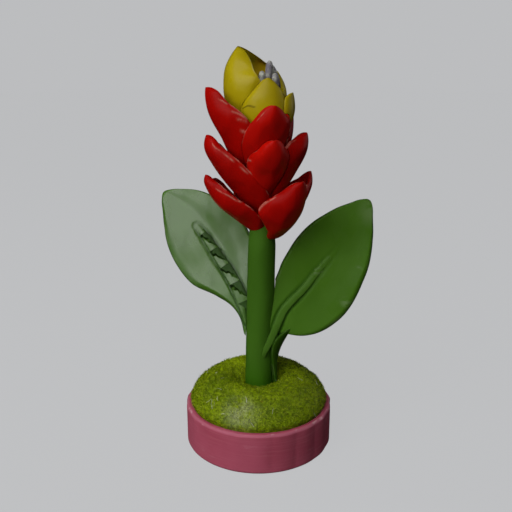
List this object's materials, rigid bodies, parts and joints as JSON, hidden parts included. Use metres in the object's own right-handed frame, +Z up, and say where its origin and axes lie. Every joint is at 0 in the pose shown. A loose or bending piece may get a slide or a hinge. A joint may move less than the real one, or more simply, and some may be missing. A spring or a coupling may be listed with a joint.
{
  "type": "lobster claw flower ornament",
  "caption": "Made flower with stacked red claw-like bracts, a yellow bud and two broad leaves on a thick stem, standing in a moss cushion in a shallow round dish.",
  "frame": {"origin": "centre of the dish's flat underside", "axes": "+Z up along the stem; +X towards the right-hand leaf; -Y towards the side that shows the upper faces of both leaves"},
  "size_m": [0.1316, 0.091, 0.2399],
  "materials": {
    "dish": "matte painted clay, faintly brushed round",
    "moss": "short matted fibres with a few stray pale ones",
    "stem": "satin, smooth",
    "leaf": "soft gloss with a raised midrib",
    "bract": "soft gloss, faint wrinkles, paler worn edges",
    "petal": "soft gloss, olive on the inside",
    "stamen": "matte, pale grey"
  },
  "bodies": {
    "root": {"dish": "dish", "moss": "moss", "stem": "stem", "leaf_left": "leaf", "leaf_right": "leaf", "bract_1_front": "bract", "bract_1_left": "bract", "bract_1_right": "bract", "bract_1_back": "bract", "bract_2_left": "bract", "bract_2_front": "bract", "bract_2_right": "bract", "bract_2_back": "bract", "bract_3_front": "bract", "bract_3_left": "bract", "bract_3_back": "bract", "petal_front": "petal", "petal_small": "petal", "petal_hood": "petal", "petal_back": "petal", "stamen_1": "stamen", "stamen_2": "stamen", "stamen_3": "stamen", "stamen_4": "stamen"}
  },
  "joints": []
}
